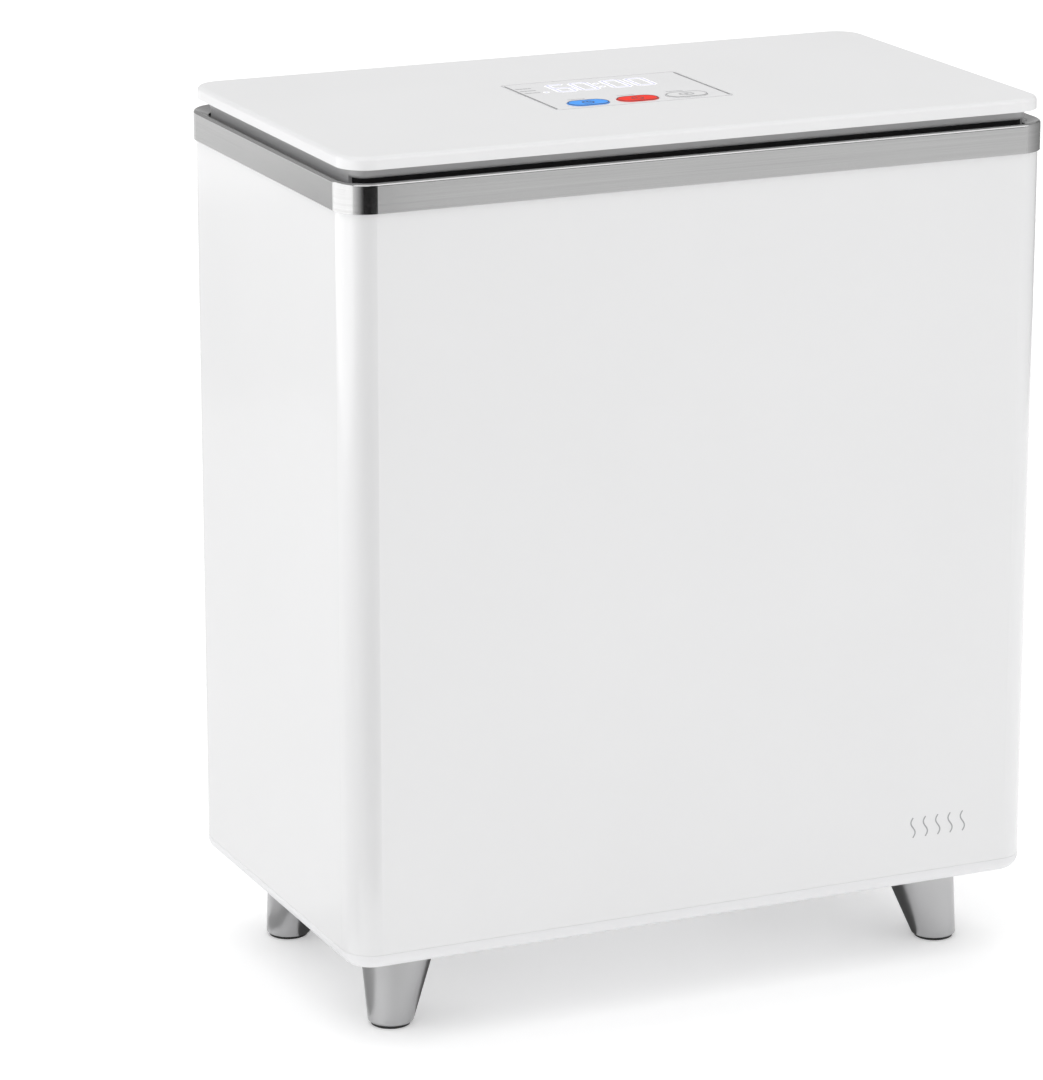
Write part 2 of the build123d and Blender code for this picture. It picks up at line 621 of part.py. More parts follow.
def make_hinge_bracket(middle_x):
    """The body half: a leaf on the ring's inner wall, with a knuckle at each end."""
    start_x = middle_x - HINGE_LENGTH / 2
    with BuildPart() as bracket:
        with BuildSketch(across_plane(start_x)):
            with BuildLine():
                Polyline((leaf_front_y, LEAF_BOTTOM), (RING_INNER_Y, LEAF_BOTTOM),
                         (RING_INNER_Y, shelf_z), (strip_y, strip_z),
                         (strip_y, strip_z + LEAF_THICKNESS), (leaf_front_y, shelf_z + LEAF_THICKNESS / 2),
                         close=True)
            make_face()
        extrude(amount=HINGE_LENGTH)
        for knuckle_x in (start_x, start_x + HINGE_LENGTH - END_KNUCKLE):
            with BuildSketch(across_plane(knuckle_x)):
                with BuildLine():
                    Polyline((strip_y - RUNNING_GAP, strip_z - RUNNING_GAP * shelf_slope), (web_y, web_z),
                             (web_y, HINGE_AXIS_Z), (knuckle_front_y, HINGE_AXIS_Z),
                             (strip_y - RUNNING_GAP, strip_z + LEAF_THICKNESS), close=True)
                make_face()
                with Locations((HINGE_AXIS_Y, HINGE_AXIS_Z)):
                    Circle(KNUCKLE_RADIUS)
            extrude(amount=END_KNUCKLE)
        with BuildSketch(across_plane(start_x)):
            with Locations((HINGE_AXIS_Y, HINGE_AXIS_Z)):
                Circle(PIN_RADIUS)
        extrude(amount=HINGE_LENGTH, mode=Mode.SUBTRACT)
        with BuildSketch(rivet_plane(leaf_front_y)):
            with Locations(*[(middle_x + step * RIVET_SPACING / 2, -BODY_RIVET_Z) for step in (-1, 1)]):
                Circle(RIVET_RADIUS)
        extrude(amount=LEAF_THICKNESS, mode=Mode.SUBTRACT)
    return bracket.part


def make_hinge_leaf(middle_x):
    """The lid half: a leaf on the lid base's rear wall, with one knuckle in the middle."""
    start_x = middle_x - HINGE_LENGTH / 2
    knuckle_x = start_x + END_KNUCKLE + RUNNING_GAP
    knuckle_length = HINGE_LENGTH - 2 * (END_KNUCKLE + RUNNING_GAP)
    with BuildPart() as leaf:
        with BuildSketch(across_plane(start_x)):
            with BuildLine():
                Polyline((BASE_REAR_Y, lid_leaf_bottom), (lid_leaf_rear_y, lid_leaf_bottom),
                         (lid_leaf_rear_y, lid_leaf_top), (BASE_REAR_Y, lid_leaf_top), close=True)
            make_face()
        extrude(amount=HINGE_LENGTH)
        with BuildSketch(across_plane(knuckle_x)):
            with BuildLine():
                Polyline((BASE_REAR_Y, HINGE_AXIS_Z), (HINGE_AXIS_Y, HINGE_AXIS_Z),
                         (HINGE_AXIS_Y, HINGE_AXIS_Z + KNUCKLE_RADIUS),
                         (BASE_REAR_Y, HINGE_AXIS_Z + KNUCKLE_RADIUS), close=True)
            make_face()
            with Locations((HINGE_AXIS_Y, HINGE_AXIS_Z)):
                Circle(KNUCKLE_RADIUS)
        extrude(amount=knuckle_length)
        with BuildSketch(across_plane(start_x)):
            with Locations((HINGE_AXIS_Y, HINGE_AXIS_Z)):
                Circle(PIN_RADIUS + PIN_CLEARANCE)
        extrude(amount=HINGE_LENGTH, mode=Mode.SUBTRACT)
        with BuildSketch(rivet_plane(BASE_REAR_Y)):
            with Locations(*[(middle_x + step * RIVET_SPACING / 2, -LID_RIVET_Z) for step in (-1, 1)]):
                Circle(RIVET_RADIUS)
        extrude(amount=LEAF_THICKNESS, mode=Mode.SUBTRACT)
    return leaf.part


def make_hinge_pin(middle_x):
    """A plain pin, pressed into the body's knuckles and turning in the lid's."""
    with BuildPart() as pin:
        with BuildSketch(across_plane(middle_x - HINGE_LENGTH / 2)):
            with Locations((HINGE_AXIS_Y, HINGE_AXIS_Z)):
                Circle(PIN_RADIUS)
        extrude(amount=HINGE_LENGTH)
    return pin.part


for side, side_name in ((-1, "left"), (1, "right")):
    finish(make_hinge_bracket(side * HINGE_X), f"hinge_bracket_{side_name}")
    finish(make_hinge_leaf(side * HINGE_X), f"hinge_leaf_{side_name}")
    finish(make_hinge_pin(side * HINGE_X), f"hinge_pin_{side_name}")


def make_rivets(head_y, height_z, shank_length, head_side):
    """A row of round-headed rivets along the depth: head_side is -1 for a head in front."""
    head_start = head_y if head_side > 0 else head_y - RIVET_HEAD_HEIGHT
    shank_start = head_y - shank_length if head_side > 0 else head_y
    with BuildPart() as rivets:
        with BuildSketch(rivet_plane(shank_start)):
            with Locations(*[(x, -height_z) for x in rivet_xs]):
                Circle(RIVET_RADIUS)
        extrude(amount=shank_length)
        with BuildSketch(rivet_plane(head_start)):
            with Locations(*[(x, -height_z) for x in rivet_xs]):
                Circle(RIVET_HEAD_RADIUS)
        extrude(amount=RIVET_HEAD_HEIGHT)
    return rivets.part


finish(make_rivets(leaf_front_y, BODY_RIVET_Z, LEAF_THICKNESS + RING_SHEET, -1), "bracket_rivets")
finish(make_rivets(lid_leaf_rear_y, LID_RIVET_Z, LEAF_THICKNESS + BASE_WALL, 1), "leaf_rivets")

# ---------------------------------------------------------------- lid shells
lid_screw_points = rim_points(LID_SCREW_INSET)
plug_screw_points = rim_points(PLUG_SCREW_INSET)
button_places = [(x, BUTTON_Y) for x in BUTTON_XS]

with BuildPart() as lid_top:
    with BuildSketch(Plane.XY.offset(LID_UNDERSIDE)):
        plan(LID_EDGE_INSET, LID_CORNER_RADIUS)
    extrude(amount=LID_TOP - LID_UNDERSIDE)
    fillet(lid_top.faces().sort_by(Axis.Z)[-1].edges(), LID_EDGE_RADIUS)
    with BuildSketch(Plane.XY.offset(LID_UNDERSIDE)):
        plan(LID_EDGE_INSET + LID_WALL, LID_CORNER_RADIUS - LID_WALL)
    extrude(amount=LID_SKIN_BOTTOM - LID_UNDERSIDE, mode=Mode.SUBTRACT)
    with BuildSketch(Plane.XY.offset(BASE_FLOOR_TOP)):
        with Locations(*lid_screw_points):
            Circle(SCREW_BOSS_RADIUS)
            Circle(SCREW_RADIUS, mode=Mode.SUBTRACT)
    extrude(amount=LID_SKIN_BOTTOM - BASE_FLOOR_TOP)
    with BuildSketch(Plane.XY.offset(LID_TOP)):
        with Locations((0, PANEL_CENTRE_Y)):
            RectangleRounded(PANEL_WIDTH, PANEL_DEPTH, PANEL_RADIUS)
    extrude(amount=-PANEL_THICKNESS, mode=Mode.SUBTRACT)
    with BuildSketch(Plane.XY.offset(LID_SKIN_BOTTOM)):
        with Locations(*button_places):
            SlotOverall(BUTTON_LENGTH, BUTTON_WIDTH)
        with Locations((DISPLAY_X, DISPLAY_Y)):
            RectangleRounded(DISPLAY_WIDTH, DISPLAY_DEPTH, SMALL_RADIUS)
    extrude(amount=LID_TOP - LID_SKIN_BOTTOM, mode=Mode.SUBTRACT)
finish(lid_top.part, "lid_top")

# The grey lid base: a flanged tray, round at its lower edge.
# Along the straight ends an apron carries its wall down past the ring's inner edge.
with BuildPart() as lid_base:
    with BuildSketch(Plane.XY.offset(BASE_BOTTOM)):
        plan(BASE_INSET)
    extrude(amount=BASE_TOP - BASE_BOTTOM)
    fillet(lid_base.faces().sort_by(Axis.Z)[0].edges(), BASE_EDGE_RADIUS)
    with BuildSketch(Plane.XY.offset(APRON_BOTTOM)):
        Rectangle(BODY_WIDTH, APRON_LENGTH)
        plan(BASE_INSET, mode=Mode.INTERSECT)
        plan(PLUG_INSET, mode=Mode.SUBTRACT)
    extrude(amount=BASE_BOTTOM + BASE_EDGE_RADIUS - APRON_BOTTOM)
    with BuildSketch(Plane.XY.offset(BASE_FLANGE_BOTTOM)):
        plan(BASE_FLANGE_INSET, LID_CORNER_RADIUS - LID_WALL)
    extrude(amount=BASE_TOP - BASE_FLANGE_BOTTOM)
    with BuildSketch(Plane.XY.offset(BASE_FLOOR_TOP)):
        plan(BASE_INSET + BASE_WALL)
    extrude(amount=BASE_TOP - BASE_FLOOR_TOP, mode=Mode.SUBTRACT)
    with BuildSketch(Plane.XY.offset(BASE_BOTTOM)):
        with Locations(*lid_screw_points, *plug_screw_points):
            Circle(SCREW_RADIUS)
    extrude(amount=BASE_WALL, mode=Mode.SUBTRACT)
    with BuildSketch(Plane.XY.offset(BASE_FLOOR_TOP)):
        with Locations(*board_holes(PANEL_CENTRE_Y)):
            Circle(SCREW_HEAD_RADIUS)
    extrude(amount=CONTROL_BOARD_BOTTOM - BASE_FLOOR_TOP)
    with BuildSketch(rivet_plane(BASE_REAR_Y)):
        with Locations(*[(x, -LID_RIVET_Z) for x in rivet_xs]):
            Circle(RIVET_RADIUS)
    extrude(amount=-BASE_WALL, mode=Mode.SUBTRACT)
finish(lid_base.part, "lid_base")

finish(upright_screws(lid_screw_points, BASE_BOTTOM, LID_SKIN_BOTTOM), "lid_screws")

# The black inner plug: a shallow open box under the lid base, full of insulation.
with BuildPart() as lid_plug:
    with BuildSketch(Plane.XY.offset(PLUG_BOTTOM)):
        plan(PLUG_INSET)
    extrude(amount=BASE_BOTTOM - PLUG_BOTTOM)
    with BuildSketch(Plane.XY.offset(PLUG_BOTTOM + PLUG_WALL)):
        plan(PLUG_INSET + PLUG_WALL)
    extrude(amount=BASE_BOTTOM - PLUG_BOTTOM - PLUG_WALL, mode=Mode.SUBTRACT)
    with BuildSketch(Plane.XY.offset(PLUG_BOTTOM)):
        with Locations(*plug_screw_points):
            Circle(SCREW_RADIUS)
    extrude(amount=PLUG_WALL, mode=Mode.SUBTRACT)
finish(lid_plug.part, "lid_plug")

with BuildPart() as lid_insulation:
    with BuildSketch(Plane.XY.offset(PLUG_BOTTOM + PLUG_WALL)):
        plan(PLUG_INSET + PLUG_WALL + RUNNING_GAP)
        with Locations(*lid_screw_points, *plug_screw_points):
            Circle(SCREW_HEAD_RADIUS + RUNNING_GAP, mode=Mode.SUBTRACT)
    extrude(amount=BASE_BOTTOM - PLUG_BOTTOM - PLUG_WALL)
finish(lid_insulation.part, "lid_insulation")

# The bright liner that faces the towels.
with BuildPart() as lid_liner:
    with BuildSketch(Plane.XY.offset(LINER_BOTTOM)):
        plan(LINER_INSET)
        with Locations(*plug_screw_points):
            Circle(SCREW_RADIUS, mode=Mode.SUBTRACT)
    extrude(amount=LINER_THICKNESS)
    fillet(lid_liner.faces().sort_by(Axis.Z)[0].outer_wire().edges(), LINER_THICKNESS / 2)
finish(lid_liner.part, "lid_liner")

finish(upright_screws(plug_screw_points, LINER_BOTTOM, BASE_FLOOR_TOP), "plug_screws")

with BuildPart() as lid_seal:
    with BuildSketch(Plane.XY.offset(SEAL_BOTTOM)):
        plan(SEAL_INSET)
        plan(SEAL_INSET + SEAL_WIDTH, mode=Mode.SUBTRACT)
    extrude(amount=PLUG_BOTTOM - SEAL_BOTTOM)
    fillet(lid_seal.faces().sort_by(Axis.Z)[0].edges(), SEAL_WIDTH / 3)
finish(lid_seal.part, "lid_seal")

# ---------------------------------------------------------------- control panel
with BuildPart() as control_panel:
    with BuildSketch(Plane.XY.offset(LID_TOP)):
        with Locations((0, PANEL_CENTRE_Y)):
            RectangleRounded(PANEL_WIDTH - 2 * PANEL_GROOVE, PANEL_DEPTH - 2 * PANEL_GROOVE, PANEL_RADIUS)
        with Locations(*button_places):
            SlotOverall(BUTTON_LENGTH, BUTTON_WIDTH, mode=Mode.SUBTRACT)
    extrude(amount=-PANEL_THICKNESS)
finish(control_panel.part, "control_panel")

with BuildPart() as control_board:
    with BuildSketch(Plane.XY.offset(CONTROL_BOARD_BOTTOM)):
        with Locations((0, PANEL_CENTRE_Y)):
            RectangleRounded(BOARD_WIDTH, BOARD_DEPTH, SMALL_RADIUS)
    extrude(amount=BOARD_THICKNESS)
finish(control_board.part, "control_board")

with BuildPart() as touch_switches:
    with BuildSketch(Plane.XY.offset(CONTROL_BOARD_TOP)):
        with Locations(*button_places):
            RectangleRounded(SWITCH_SIZE, SWITCH_SIZE, BLADE_THICKNESS)
    extrude(amount=SWITCH_HEIGHT)
finish(touch_switches.part, "touch_switches")

with BuildPart() as display_module:
    with BuildSketch(Plane.XY.offset(CONTROL_BOARD_TOP)):
        with Locations((DISPLAY_X, DISPLAY_Y)):
            RectangleRounded(DISPLAY_WIDTH - 2 * PANEL_GROOVE, DISPLAY_DEPTH - 2 * PANEL_GROOVE,
                             SMALL_RADIUS)
    extrude(amount=LID_TOP - PANEL_THICKNESS - RUNNING_GAP - CONTROL_BOARD_TOP)
finish(display_module.part, "display_module")


def make_button(centre_x):
    """A push button: domed cap, wider flange under the lid's skin, and a stem to its switch."""
    cap_length = BUTTON_LENGTH - 2 * RUNNING_GAP
    cap_width = BUTTON_WIDTH - 2 * RUNNING_GAP
    flange_top = LID_SKIN_BOTTOM - RUNNING_GAP
    with BuildPart() as button:
        with BuildSketch(Plane.XY.offset(flange_top)):
            with Locations((centre_x, BUTTON_Y)):
                SlotOverall(cap_length, cap_width)
        extrude(amount=LID_TOP + BUTTON_PROUD - flange_top)
        fillet(button.faces().sort_by(Axis.Z)[-1].edges(), BUTTON_PROUD)
        with BuildSketch(Plane.XY.offset(BUTTON_FLANGE_BOTTOM)):
            with Locations((centre_x, BUTTON_Y)):
                SlotOverall(BUTTON_LENGTH + SMALL_RADIUS, BUTTON_WIDTH + SMALL_RADIUS)
        extrude(amount=flange_top - BUTTON_FLANGE_BOTTOM)
        with BuildSketch(Plane.XY.offset(BUTTON_STEM_BOTTOM)):
            with Locations((centre_x, BUTTON_Y)):
                Circle(BUTTON_STEM_RADIUS)
        extrude(amount=BUTTON_FLANGE_BOTTOM - BUTTON_STEM_BOTTOM)
    return button.part


for button_x, colour in zip(BUTTON_XS, BUTTON_NAMES):
    finish(make_button(button_x), f"button_{colour}")

# ---------------------------------------------------------------- fragrance drawer
half_scent_width = SCENT_WIDTH / 2
half_scent_depth = SCENT_DEPTH / 2
vent_size = (SCENT_SLOT_LENGTH, SCENT_SLOT_WIDTH)
vent_grid = (SCENT_SLOT_PITCH_X, SCENT_SLOT_PITCH_Y, SCENT_SLOT_COLUMNS, SCENT_SLOT_ROWS)
tray_half_width = half_scent_width - SCENT_WALL - SCENT_GAP
tray_bottom = SCENT_BOTTOM + SCENT_WALL + SCENT_GAP
tray_top = LINER_BOTTOM - SCENT_GAP
tray_front_y = -half_scent_depth - SCENT_GAP
tray_rear_y = half_scent_depth - SCENT_WALL - SCENT_GAP

with BuildPart() as scent_housing:
    with BuildSketch(Plane.XY.offset(SCENT_BOTTOM)):
        RectangleRounded(SCENT_WIDTH, SCENT_DEPTH, SMALL_RADIUS)
    extrude(amount=SCENT_HEIGHT)
    with BuildSketch(Plane.XY.offset(SCENT_BOTTOM + SCENT_WALL)):
        with Locations((0, -SCENT_WALL)):
            Rectangle(SCENT_WIDTH - 2 * SCENT_WALL, SCENT_DEPTH)
    extrude(amount=SCENT_HEIGHT, mode=Mode.SUBTRACT)
    with BuildSketch(Plane.XY.offset(SCENT_BOTTOM)):
        with GridLocations(*vent_grid):
            SlotOverall(*vent_size)
    extrude(amount=SCENT_WALL, mode=Mode.SUBTRACT)
finish(scent_housing.part, "scent_housing")

with BuildPart() as scent_tray:
    with BuildSketch(Plane.XY.offset(tray_bottom)):
        with Locations((0, (tray_front_y + tray_rear_y) / 2)):
            Rectangle(2 * tray_half_width, tray_rear_y - tray_front_y)
    extrude(amount=tray_top - tray_bottom)
    with BuildSketch(Plane.XY.offset(tray_bottom + TRAY_SIDE)):
        with Locations((0, (tray_front_y + tray_rear_y) / 2)):
            Rectangle(2 * (tray_half_width - TRAY_SIDE), tray_rear_y - tray_front_y - 2 * TRAY_SIDE)
    extrude(amount=tray_top - tray_bottom, mode=Mode.SUBTRACT)
    with BuildSketch(Plane.XY.offset(SCENT_BOTTOM)):
        with Locations((0, tray_front_y - SCENT_FRONT_THICKNESS / 2)):
            Rectangle(SCENT_WIDTH, SCENT_FRONT_THICKNESS)
    extrude(amount=SCENT_FRONT_HEIGHT)
    with BuildSketch(Plane.XY.offset(tray_bottom)):
        with GridLocations(*vent_grid):
            SlotOverall(*vent_size)
    extrude(amount=TRAY_SIDE, mode=Mode.SUBTRACT)
    with BuildSketch(Plane.XY.offset(SCENT_BOTTOM)):
        with Locations((0, tray_front_y - SCENT_FRONT_THICKNESS)):
            SlotOverall(SCENT_GRIP_LENGTH, SCENT_FRONT_THICKNESS)
    extrude(amount=SCENT_FRONT_HEIGHT / 2, mode=Mode.SUBTRACT)
finish(scent_tray.part, "scent_tray")

with BuildPart() as scent_pad:
    with BuildSketch(Plane.XY.offset(tray_bottom + TRAY_SIDE)):
        with Locations((0, (tray_front_y + tray_rear_y) / 2)):
            RectangleRounded(2 * (tray_half_width - 2 * TRAY_SIDE),
                             tray_rear_y - tray_front_y - 4 * TRAY_SIDE, SMALL_RADIUS)
    extrude(amount=SCENT_PAD_THICKNESS)
    fillet(scent_pad.faces().sort_by(Axis.Z)[-1].edges(), SCENT_PAD_THICKNESS / 4)
finish(scent_pad.part, "scent_pad")
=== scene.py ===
import json
import math

import bmesh
import bpy
from mathutils import Matrix, Vector


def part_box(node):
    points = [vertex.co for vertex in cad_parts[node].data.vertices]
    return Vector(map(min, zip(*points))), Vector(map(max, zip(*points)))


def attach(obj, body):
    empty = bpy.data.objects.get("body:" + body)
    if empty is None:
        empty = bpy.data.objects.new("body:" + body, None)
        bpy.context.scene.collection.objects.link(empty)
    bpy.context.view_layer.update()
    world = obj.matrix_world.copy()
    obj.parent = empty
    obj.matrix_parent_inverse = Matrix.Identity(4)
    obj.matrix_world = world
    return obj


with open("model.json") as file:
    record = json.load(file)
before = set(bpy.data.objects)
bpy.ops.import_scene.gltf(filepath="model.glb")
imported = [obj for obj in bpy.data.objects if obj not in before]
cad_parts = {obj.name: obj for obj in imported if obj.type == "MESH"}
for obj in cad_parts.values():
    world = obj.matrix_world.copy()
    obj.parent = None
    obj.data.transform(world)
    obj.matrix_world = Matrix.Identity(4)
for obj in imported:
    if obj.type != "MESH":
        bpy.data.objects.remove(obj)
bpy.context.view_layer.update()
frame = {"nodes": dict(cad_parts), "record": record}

# Lid-top towel warming cabinet.  Metres, in the frame's own axes: front is -Y, up is +Z.
MM = 0.001

# ---------------------------------------------------------------- camera
CAMERA_LENS = 166.67
CAMERA_SENSOR = 36
CAMERA_REACH = 50
CAMERA_PLACE = (-1.1687, -2.4873, 1.0239)
CAMERA_HEADING = 24.081
CAMERA_TILT = -15.94


def make_camera():
    """A plain camera without shift; heading and tilt in degrees, counted from +Y and from level."""
    data = bpy.data.cameras.new("camera")
    data.lens = CAMERA_LENS
    data.sensor_width = CAMERA_SENSOR
    data.clip_end = CAMERA_REACH
    camera = bpy.data.objects.new("camera", data)
    bpy.context.scene.collection.objects.link(camera)
    turn = (Matrix.Rotation(math.radians(-CAMERA_HEADING), 4, "Z")
            @ Matrix.Rotation(math.radians(90 + CAMERA_TILT), 4, "X"))
    camera.matrix_world = Matrix.Translation(CAMERA_PLACE) @ turn
    bpy.context.scene.camera = camera


# ---------------------------------------------------------------- node helpers
BLEND_SPAN = (0.3, 0.7)


def new_material(name):
    material = bpy.data.materials.new(name)
    material.use_nodes = True
    tree = material.node_tree
    tree.nodes.clear()
    output = tree.nodes.new("ShaderNodeOutputMaterial")
    shader = tree.nodes.new("ShaderNodeBsdfPrincipled")
    tree.links.new(shader.outputs["BSDF"], output.inputs["Surface"])
    return material, tree, shader


def object_coordinates(tree, scale=(1, 1, 1)):
    coordinates = tree.nodes.new("ShaderNodeTexCoord")
    mapping = tree.nodes.new("ShaderNodeMapping")
    mapping.inputs["Scale"].default_value = scale
    tree.links.new(coordinates.outputs["Object"], mapping.inputs["Vector"])
    return mapping.outputs["Vector"]


def noise(tree, vector, scale, detail=3.0, roughness=0.5):
    node = tree.nodes.new("ShaderNodeTexNoise")
    node.inputs["Scale"].default_value = scale
    node.inputs["Detail"].default_value = detail
    node.inputs["Roughness"].default_value = roughness
    tree.links.new(vector, node.inputs["Vector"])
    return node.outputs["Fac"]


def remap(tree, value, low, high, from_low=0.25, from_high=0.75):
    """Stretch a noise's usual span over low to high."""
    node = tree.nodes.new("ShaderNodeMapRange")
    node.inputs["From Min"].default_value = from_low
    node.inputs["From Max"].default_value = from_high
    node.inputs["To Min"].default_value = low
    node.inputs["To Max"].default_value = high
    tree.links.new(value, node.inputs["Value"])
    return node.outputs["Result"]


def two_colours(tree, factor, first, second):
    """A soft blend from the first colour to the second over the middle of the factor."""
    ramp = tree.nodes.new("ShaderNodeValToRGB")
    for stop, place, colour in zip(ramp.color_ramp.elements, BLEND_SPAN, (first, second)):
        stop.position = place
        stop.color = (*colour, 1)
    tree.links.new(factor, ramp.inputs["Fac"])
    return ramp.outputs["Color"]


def bump(tree, shader, height, distance, strength=1.0):
    node = tree.nodes.new("ShaderNodeBump")
    node.inputs["Distance"].default_value = distance
    node.inputs["Strength"].default_value = strength
    tree.links.new(height, node.inputs["Height"])
    tree.links.new(node.outputs["Normal"], shader.inputs["Normal"])


def shaded(colour, factor):
    """The colour made darker by a factor."""
    return tuple(channel * factor for channel in colour)


# ---------------------------------------------------------------- materials
COAT_ROUGHNESS = 0.12
ALONG, ACROSS = 6, 900
BRUSH_STRETCH = {"X": (ALONG, ACROSS, ACROSS), "Y": (ACROSS, ALONG, ACROSS), "Z": (ACROSS, ACROSS, ALONG),
                 "rim": (5, 5, 1600)}


def moulded(name, colour, roughness, mottle=0.985, grain=900, depth=0.00001, coat=0.0, specular=0.5):
    """Moulded or sprayed surface: a faint broad mottle, fine grain bump, uneven gloss."""
    material, tree, shader = new_material(name)
    vector = object_coordinates(tree)
    broad = noise(tree, vector, 9, 4)
    fine = noise(tree, vector, grain, 2)
    tree.links.new(two_colours(tree, broad, shaded(colour, mottle), colour), shader.inputs["Base Color"])
    tree.links.new(remap(tree, broad, roughness * 0.92, roughness * 1.08), shader.inputs["Roughness"])
    bump(tree, shader, fine, depth)
    shader.inputs["Specular IOR Level"].default_value = specular
    shader.inputs["Coat Weight"].default_value = coat
    shader.inputs["Coat Roughness"].default_value = COAT_ROUGHNESS
    return material


def brushed(name, colour, roughness, along, streak=0.85, depth=0.000012):
    """Brushed metal: long fine streaks that run along the given axis, or round the rim."""
    material, tree, shader = new_material(name)
    lines = noise(tree, object_coordinates(tree, BRUSH_STRETCH[along]), 1.0, 4, 0.65)
    cloud = noise(tree, object_coordinates(tree), 14, 3)
    tree.links.new(two_colours(tree, lines, shaded(colour, streak), colour), shader.inputs["Base Color"])
    tree.links.new(remap(tree, cloud, roughness * 0.85, roughness * 1.15), shader.inputs["Roughness"])
    bump(tree, shader, lines, depth)
    shader.inputs["Metallic"].default_value = 1.0
    return material


def satin_metal(name, colour, roughness, grain=2500, depth=0.000006):
    """Blasted or anodised metal: fine even grain with a slight cloud."""
    material, tree, shader = new_material(name)
    vector = object_coordinates(tree)
    cloud = noise(tree, vector, 18, 3)
    fine = noise(tree, vector, grain, 2)
    tree.links.new(two_colours(tree, cloud, shaded(colour, 0.93), colour), shader.inputs["Base Color"])
    tree.links.new(remap(tree, fine, roughness * 0.9, roughness * 1.1), shader.inputs["Roughness"])
    bump(tree, shader, fine, depth)
    shader.inputs["Metallic"].default_value = 1.0
    return material


def fibrous(name, colour, scale, depth):
    """Felt and glass fibre: tangled grain at two sizes."""
    material, tree, shader = new_material(name)
    vector = object_coordinates(tree)
    tangle = noise(tree, vector, scale, 8, 0.75)
    tree.links.new(two_colours(tree, tangle, shaded(colour, 0.8), colour), shader.inputs["Base Color"])
    bump(tree, shader, tangle, depth)
    shader.inputs["Roughness"].default_value = 0.95
    shader.inputs["Sheen Weight"].default_value = 0.3
    return material


def glowing(name, colour, strength):
    """A lit display mark, a touch uneven as it is where a light guide spreads the light."""
    material, tree, shader = new_material(name)
    cloud = noise(tree, object_coordinates(tree), 300, 2)
    lit = two_colours(tree, cloud, shaded(colour, 0.94), colour)
    tree.links.new(lit, shader.inputs["Base Color"])
    tree.links.new(lit, shader.inputs["Emission Color"])
    shader.inputs["Emission Strength"].default_value = strength
    shader.inputs["Roughness"].default_value = 0.4
    return material


MATERIALS = {
    "white_enamel": moulded("white_enamel", (0.785, 0.785, 0.79), 0.32, grain=700, depth=0.000008,
                            coat=0.9, specular=0.85),
    "white_gloss": moulded("white_gloss", (0.84, 0.84, 0.845), 0.30, grain=1200, depth=0.000004,
                           coat=0.2),
    "white_plastic": moulded("white_plastic", (0.81, 0.81, 0.82), 0.42, grain=1500, depth=0.000012),
    "panel_plastic": moulded("panel_plastic", (0.84, 0.84, 0.85), 0.24, grain=900, depth=0.000003,
                             coat=0.3),
    "display_plastic": moulded("display_plastic", (0.7, 0.71, 0.75), 0.5),
    "grey_plastic": moulded("grey_plastic", (0.52, 0.52, 0.525), 0.42, mottle=0.96, grain=1800),
    "black_plastic": moulded("black_plastic", (0.008, 0.008, 0.0085), 0.5, mottle=0.85, grain=1800,
                             specular=0.15),
    "component_plastic": moulded("component_plastic", (0.03, 0.03, 0.032), 0.45, mottle=0.8),
    "black_rubber": moulded("black_rubber", (0.022, 0.022, 0.022), 0.75, mottle=0.75, grain=2200,
                            depth=0.00002),
    "seal_rubber": moulded("seal_rubber", (0.03, 0.03, 0.031), 0.6, mottle=0.8, grain=1600),
    "heater_silicone": moulded("heater_silicone", (0.40, 0.06, 0.03), 0.6, mottle=0.85, grain=1200,
                               depth=0.00004),
    "lead_insulation": moulded("lead_insulation", (0.45, 0.03, 0.02), 0.5, mottle=0.85),
    "circuit_board": moulded("circuit_board", (0.02, 0.13, 0.05), 0.35, mottle=0.75, grain=1500, coat=0.4),
    "button_blue": moulded("button_blue", (0.095, 0.38, 0.98), 0.6, mottle=0.95, specular=0.08),
    "button_red": moulded("button_red", (0.93, 0.050, 0.034), 0.6, mottle=0.95, specular=0.08),
    "button_white": moulded("button_white", (0.84, 0.84, 0.845), 0.24, coat=0.3),
    "brushed_steel": brushed("brushed_steel", (0.42, 0.42, 0.42), 0.155, "rim"),
    "hinge_steel": brushed("hinge_steel", (0.50, 0.50, 0.50), 0.34, "X"),
    "zinc_steel": brushed("zinc_steel", (0.55, 0.55, 0.56), 0.35, "Z"),
    "satin_aluminium": satin_metal("satin_aluminium", (0.47, 0.47, 0.475), 0.31),
    "bucket_aluminium": brushed("bucket_aluminium", (0.66, 0.66, 0.67), 0.38, "Z", streak=0.93),
    "liner_aluminium": brushed("liner_aluminium", (0.68, 0.68, 0.69), 0.36, "X", streak=0.93),
    "heater_plate": satin_metal("heater_plate", (0.60, 0.60, 0.60), 0.45),
    "electrical_metal": satin_metal("electrical_metal", (0.55, 0.53, 0.50), 0.4),
    "insulation": fibrous("insulation", (0.72, 0.69, 0.60), 350, 0.0006),
    "felt": fibrous("felt", (0.80, 0.78, 0.72), 700, 0.0003),
}

PALE_INK = moulded("pale_ink", (0.38, 0.38, 0.39), 0.5, mottle=0.9)
BLUE_INK = moulded("blue_ink", (0.008, 0.045, 0.19), 0.4, mottle=0.85)
RED_INK = moulded("red_ink", (0.17, 0.006, 0.005), 0.4, mottle=0.85)
GLOW = glowing("display_glow", (0.95, 0.95, 0.96), 0.24)
GLOW_CORE = glowing("display_core", (0.64, 0.64, 0.84), 0.06)
LINE_INK = moulded("line_ink", (0.10, 0.10, 0.105), 0.5, mottle=0.85)


def dress_cad_nodes():
    """Give each CAD node the material of its slot in the record."""
    for entry in frame["record"]["subparts"]:
        node = frame["nodes"][entry["node"]]
        node.data.materials.clear()
        node.data.materials.append(MATERIALS[entry["material_slot"]])


